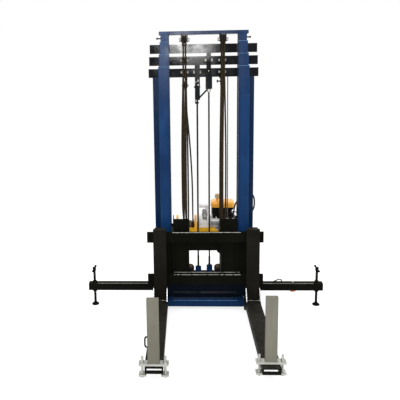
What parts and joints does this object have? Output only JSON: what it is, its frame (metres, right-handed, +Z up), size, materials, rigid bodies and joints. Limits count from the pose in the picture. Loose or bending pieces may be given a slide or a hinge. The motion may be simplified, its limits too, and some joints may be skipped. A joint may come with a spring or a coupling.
{
  "type": "material lift",
  "caption": "Upright telescopic material lift with nested mast sections, a fork carriage, side outriggers with screw jacks and an engine-driven rope winch behind the mast.",
  "frame": {"origin": "on the floor below the middle of the whole machine's bounding box", "axes": "+Z up, forks point along -Y, +X to the right of someone facing the forks' back, mast across X"},
  "size_m": [1.811, 1.635, 2.092],
  "materials": {
    "blue_paint": "gloss enamel",
    "black_paint": "satin enamel",
    "grey_paint": "matt primer",
    "zinc": "zinc plated",
    "sheave_steel": "machined, oiled",
    "rope": "greased wire rope",
    "tank_paint": "gloss yellow",
    "cap_plastic": "moulded",
    "shroud_plastic": "satin",
    "casting": "as cast",
    "exhaust": "heat stained",
    "bed_paint": "gloss enamel",
    "black_plastic": "moulded",
    "wheel_rubber": "moulded tread",
    "cable_sheath": "extruded"
  },
  "bodies": {
    "base": {"base_frame": "blue_paint", "fixed_column_left": "blue_paint", "fixed_column_right": "blue_paint", "fixed_crossbar": "black_paint", "winch_bed": "bed_paint", "drum_rope": "rope", "gearbox": "casting", "engine_block": "casting", "engine_shroud": "shroud_plastic", "fuel_tank": "tank_paint", "silencer": "exhaust", "control_cables": "cable_sheath", "main_falls": "rope", "sync1_rear_rope": "rope"},
    "section_1": {"section_1_columns": "blue_paint", "section_1_crossbar": "black_paint", "traverse_rope": "rope", "sync1_front_rope": "rope", "sync2_rear_rope": "rope"},
    "section_2": {"section_2_columns": "blue_paint", "section_2_foot": "blue_paint", "section_2_crossbar": "black_paint", "sync2_front_rope": "rope", "carriage_ropes_rear": "rope"},
    "section_3": {"section_3_columns": "blue_paint", "top_beam": "blue_paint", "top_brackets": "black_paint", "carriage_ropes_front": "rope"},
    "carriage": {"carriage_frame": "black_paint", "fork_bars": "black_paint"},
    "head_sheave": {"head_sheave": "sheave_steel"},
    "sync_sheave_1": {"sync_sheave_1": "sheave_steel"},
    "sync_sheave_2": {"sync_sheave_2": "sheave_steel"},
    "traverse_sheave_left": {"traverse_sheave_left": "sheave_steel"},
    "traverse_sheave_right": {"traverse_sheave_right": "sheave_steel"},
    "top_sheaves": {"top_sheaves": "sheave_steel"},
    "rollers_lower": {"rollers_lower": "sheave_steel"},
    "rollers_upper": {"rollers_upper": "sheave_steel"},
    "fork_left": {"fork_left": "black_paint"},
    "fork_right": {"fork_right": "black_paint"},
    "outrigger_arm_left": {"outrigger_arm_left": "black_paint"},
    "outrigger_arm_right": {"outrigger_arm_right": "black_paint"},
    "jack_screw_left": {"jack_screw_left": "black_paint"},
    "jack_screw_right": {"jack_screw_right": "black_paint"},
    "jack_handle_left": {"jack_handle_left": "black_paint"},
    "jack_handle_right": {"jack_handle_right": "black_paint"},
    "front_wheel_left": {"front_wheel_left": "wheel_rubber"},
    "front_wheel_right": {"front_wheel_right": "wheel_rubber"},
    "caster_fork_left": {"caster_fork_left": "zinc"},
    "caster_fork_right": {"caster_fork_right": "zinc"},
    "caster_wheel_left": {"caster_wheel_left": "wheel_rubber"},
    "caster_wheel_right": {"caster_wheel_right": "wheel_rubber"},
    "winch_drum": {"winch_drum": "sheave_steel"},
    "fuel_cap": {"fuel_cap": "cap_plastic"},
    "recoil_grip": {"recoil_grip": "black_plastic"},
    "throttle_lever": {"throttle_lever": "black_plastic"},
    "stop_left": {"clamp_left": "zinc", "stop_post_left": "grey_paint"},
    "stop_right": {"clamp_right": "zinc", "stop_post_right": "grey_paint"}
  },
  "joints": [
    {"name": "section_1_slide", "type": "slide", "parent": "base", "child": "section_1", "axis": [0, 0, 1], "range_m": [0, 1.25], "deforming": ["main_falls", "sync1_rear_rope"]},
    {"name": "section_2_slide", "type": "slide", "parent": "section_1", "child": "section_2", "axis": [0, 0, 1], "range_m": [0, 1.25], "deforming": ["sync1_front_rope", "sync2_rear_rope"]},
    {"name": "section_3_slide", "type": "slide", "parent": "section_2", "child": "section_3", "axis": [0, 0, 1], "range_m": [0, 1.25], "deforming": ["sync2_front_rope", "carriage_ropes_rear"]},
    {"name": "carriage_slide", "type": "slide", "parent": "section_3", "child": "carriage", "axis": [0, 0, 1], "range_m": [0, 1.25], "deforming": ["carriage_ropes_front"]},
    {"name": "drum_spin", "type": "hinge", "parent": "base", "child": "winch_drum", "pos_m": [-0.136, 0.5825, 0.545], "axis": [1, 0, 0], "continuous": true},
    {"name": "head_sheave_spin", "type": "hinge", "parent": "base", "child": "head_sheave", "pos_m": [-0.135, 0.3675, 1.7], "axis": [1, 0, 0], "continuous": true},
    {"name": "traverse_left_spin", "type": "hinge", "parent": "section_1", "child": "traverse_sheave_left", "pos_m": [-0.11, 0.3375, 0.262], "axis": [0, 1, 0], "continuous": true},
    {"name": "traverse_right_spin", "type": "hinge", "parent": "section_1", "child": "traverse_sheave_right", "pos_m": [0.11, 0.3375, 0.262], "axis": [0, 1, 0], "continuous": true},
    {"name": "sync_sheave_1_spin", "type": "hinge", "parent": "section_1", "child": "sync_sheave_1", "pos_m": [-0.047, 0.2835, 1.69], "axis": [1, 0, 0], "continuous": true},
    {"name": "sync_sheave_2_spin", "type": "hinge", "parent": "section_2", "child": "sync_sheave_2", "pos_m": [0.037, 0.2585, 1.742], "axis": [1, 0, 0], "continuous": true},
    {"name": "top_sheaves_spin", "type": "hinge", "parent": "section_3", "child": "top_sheaves", "pos_m": [0, 0.2275, 2.03], "axis": [1, 0, 0], "continuous": true},
    {"name": "rollers_upper_spin", "type": "hinge", "parent": "carriage", "child": "rollers_upper", "pos_m": [0, 0.2575, 0.64], "axis": [1, 0, 0], "continuous": true},
    {"name": "rollers_lower_spin", "type": "hinge", "parent": "carriage", "child": "rollers_lower", "pos_m": [0, 0.2575, 0.312], "axis": [1, 0, 0], "continuous": true},
    {"name": "fork_left_shift", "type": "slide", "parent": "carriage", "child": "fork_left", "axis": [1, 0, 0], "range_m": [-0.04, 0.02]},
    {"name": "fork_right_shift", "type": "slide", "parent": "carriage", "child": "fork_right", "axis": [1, 0, 0], "range_m": [-0.03, 0.03]},
    {"name": "stop_left_slide", "type": "slide", "parent": "fork_left", "child": "stop_left", "axis": [0, 1, 0], "range_m": [0, 0.5]},
    {"name": "outrigger_left_slide", "type": "slide", "parent": "base", "child": "outrigger_arm_left", "axis": [-1, 0, 0], "range_m": [-0.12, 0]},
    {"name": "jack_left_screw", "type": "slide", "parent": "outrigger_arm_left", "child": "jack_screw_left", "axis": [0, 0, 1], "range_m": [0, 0.08]},
    {"name": "jack_left_turn", "type": "hinge", "parent": "jack_screw_left", "child": "jack_handle_left", "pos_m": [-0.861, 0.2425, 0.293], "axis": [0, 0, 1], "continuous": true},
    {"name": "front_wheel_left_spin", "type": "hinge", "parent": "base", "child": "front_wheel_left", "pos_m": [-0.316, 0.1525, 0.05], "axis": [1, 0, 0], "continuous": true},
    {"name": "caster_left_swivel", "type": "hinge", "parent": "base", "child": "caster_fork_left", "pos_m": [-0.352, 0.7425, 0.1], "axis": [0, 0, 1], "continuous": true},
    {"name": "caster_left_spin", "type": "hinge", "parent": "caster_fork_left", "child": "caster_wheel_left", "pos_m": [-0.352, 0.7625, 0.04], "axis": [1, 0, 0], "continuous": true},
    {"name": "stop_right_slide", "type": "slide", "parent": "fork_right", "child": "stop_right", "axis": [0, 1, 0], "range_m": [0, 0.5]},
    {"name": "outrigger_right_slide", "type": "slide", "parent": "base", "child": "outrigger_arm_right", "axis": [1, 0, 0], "range_m": [-0.12, 0]},
    {"name": "jack_right_screw", "type": "slide", "parent": "outrigger_arm_right", "child": "jack_screw_right", "axis": [0, 0, 1], "range_m": [0, 0.08]},
    {"name": "jack_right_turn", "type": "hinge", "parent": "jack_screw_right", "child": "jack_handle_right", "pos_m": [0.861, 0.2425, 0.293], "axis": [0, 0, 1], "continuous": true},
    {"name": "front_wheel_right_spin", "type": "hinge", "parent": "base", "child": "front_wheel_right", "pos_m": [0.316, 0.1525, 0.05], "axis": [1, 0, 0], "continuous": true},
    {"name": "caster_right_swivel", "type": "hinge", "parent": "base", "child": "caster_fork_right", "pos_m": [0.352, 0.7425, 0.1], "axis": [0, 0, 1], "continuous": true},
    {"name": "caster_right_spin", "type": "hinge", "parent": "caster_fork_right", "child": "caster_wheel_right", "pos_m": [0.352, 0.7625, 0.04], "axis": [1, 0, 0], "continuous": true},
    {"name": "fuel_cap_turn", "type": "hinge", "parent": "base", "child": "fuel_cap", "pos_m": [0.122, 0.6275, 0.778], "axis": [0, 0, 1], "range_deg": [0, 90]},
    {"name": "recoil_pull", "type": "slide", "parent": "base", "child": "recoil_grip", "axis": [1, 0, 0], "range_m": [0, 0.3], "stiffness_N_per_m": 40, "springref_m": -0.02},
    {"name": "throttle_turn", "type": "hinge", "parent": "base", "child": "throttle_lever", "pos_m": [0.276, 0.5425, 0.572], "axis": [1, 0, 0], "range_deg": [-10, 35]}
  ],
  "couplings": [
    {"joint": "section_2_slide", "follows": "section_1_slide", "ratio": 1},
    {"joint": "section_3_slide", "follows": "section_1_slide", "ratio": 1},
    {"joint": "carriage_slide", "follows": "section_1_slide", "ratio": 1},
    {"joint": "drum_spin", "follows": "section_1_slide", "rad_per_m": 62.5},
    {"joint": "head_sheave_spin", "follows": "section_1_slide", "rad_per_m": -66.667},
    {"joint": "traverse_left_spin", "follows": "section_1_slide", "rad_per_m": 40},
    {"joint": "traverse_right_spin", "follows": "section_1_slide", "rad_per_m": 40},
    {"joint": "sync_sheave_1_spin", "follows": "section_1_slide", "rad_per_m": -38.462},
    {"joint": "sync_sheave_2_spin", "follows": "section_1_slide", "rad_per_m": -32.258},
    {"joint": "top_sheaves_spin", "follows": "section_1_slide", "rad_per_m": -33.333},
    {"joint": "rollers_upper_spin", "follows": "section_1_slide", "rad_per_m": 28.49},
    {"joint": "rollers_lower_spin", "follows": "section_1_slide", "rad_per_m": -28.49},
    {"joint": "jack_left_turn", "follows": "jack_left_screw", "rad_per_m": 1047.2},
    {"joint": "jack_right_turn", "follows": "jack_right_screw", "rad_per_m": 1047.2}
  ]
}
